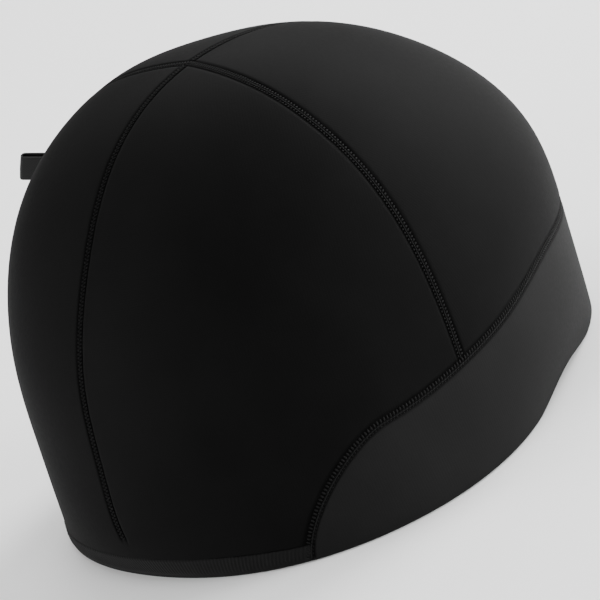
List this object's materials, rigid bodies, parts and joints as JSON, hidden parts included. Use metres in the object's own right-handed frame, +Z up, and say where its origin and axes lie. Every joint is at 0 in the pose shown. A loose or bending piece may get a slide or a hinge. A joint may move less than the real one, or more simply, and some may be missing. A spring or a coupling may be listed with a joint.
{
  "type": "running beanie",
  "caption": "Close-fitting jersey cap for running, with a panelled crown, a doubled ear band, a nape binding and a hang loop.",
  "frame": {"origin": "on the floor, under the middle of the hem", "axes": "+Z up to the crown, -Y towards the forehead, +X towards the wearer's left, which is the hang loop's side"},
  "size_m": [0.1743, 0.1863, 0.1305],
  "materials": {
    "crown_jersey": "matt black brushed stretch jersey",
    "band_jersey": "matt black stretch jersey, doubled",
    "elastic_binding": "black ribbed elastic",
    "loop_tape": "dark grey woven tape"
  },
  "bodies": {
    "root": {"crown_panel_front_left": "crown_jersey", "crown_panel_front_right": "crown_jersey", "crown_panel_back_left": "crown_jersey", "crown_panel_back_right": "crown_jersey", "ear_band": "band_jersey", "nape_binding": "elastic_binding", "hang_loop": "loop_tape"}
  },
  "joints": []
}
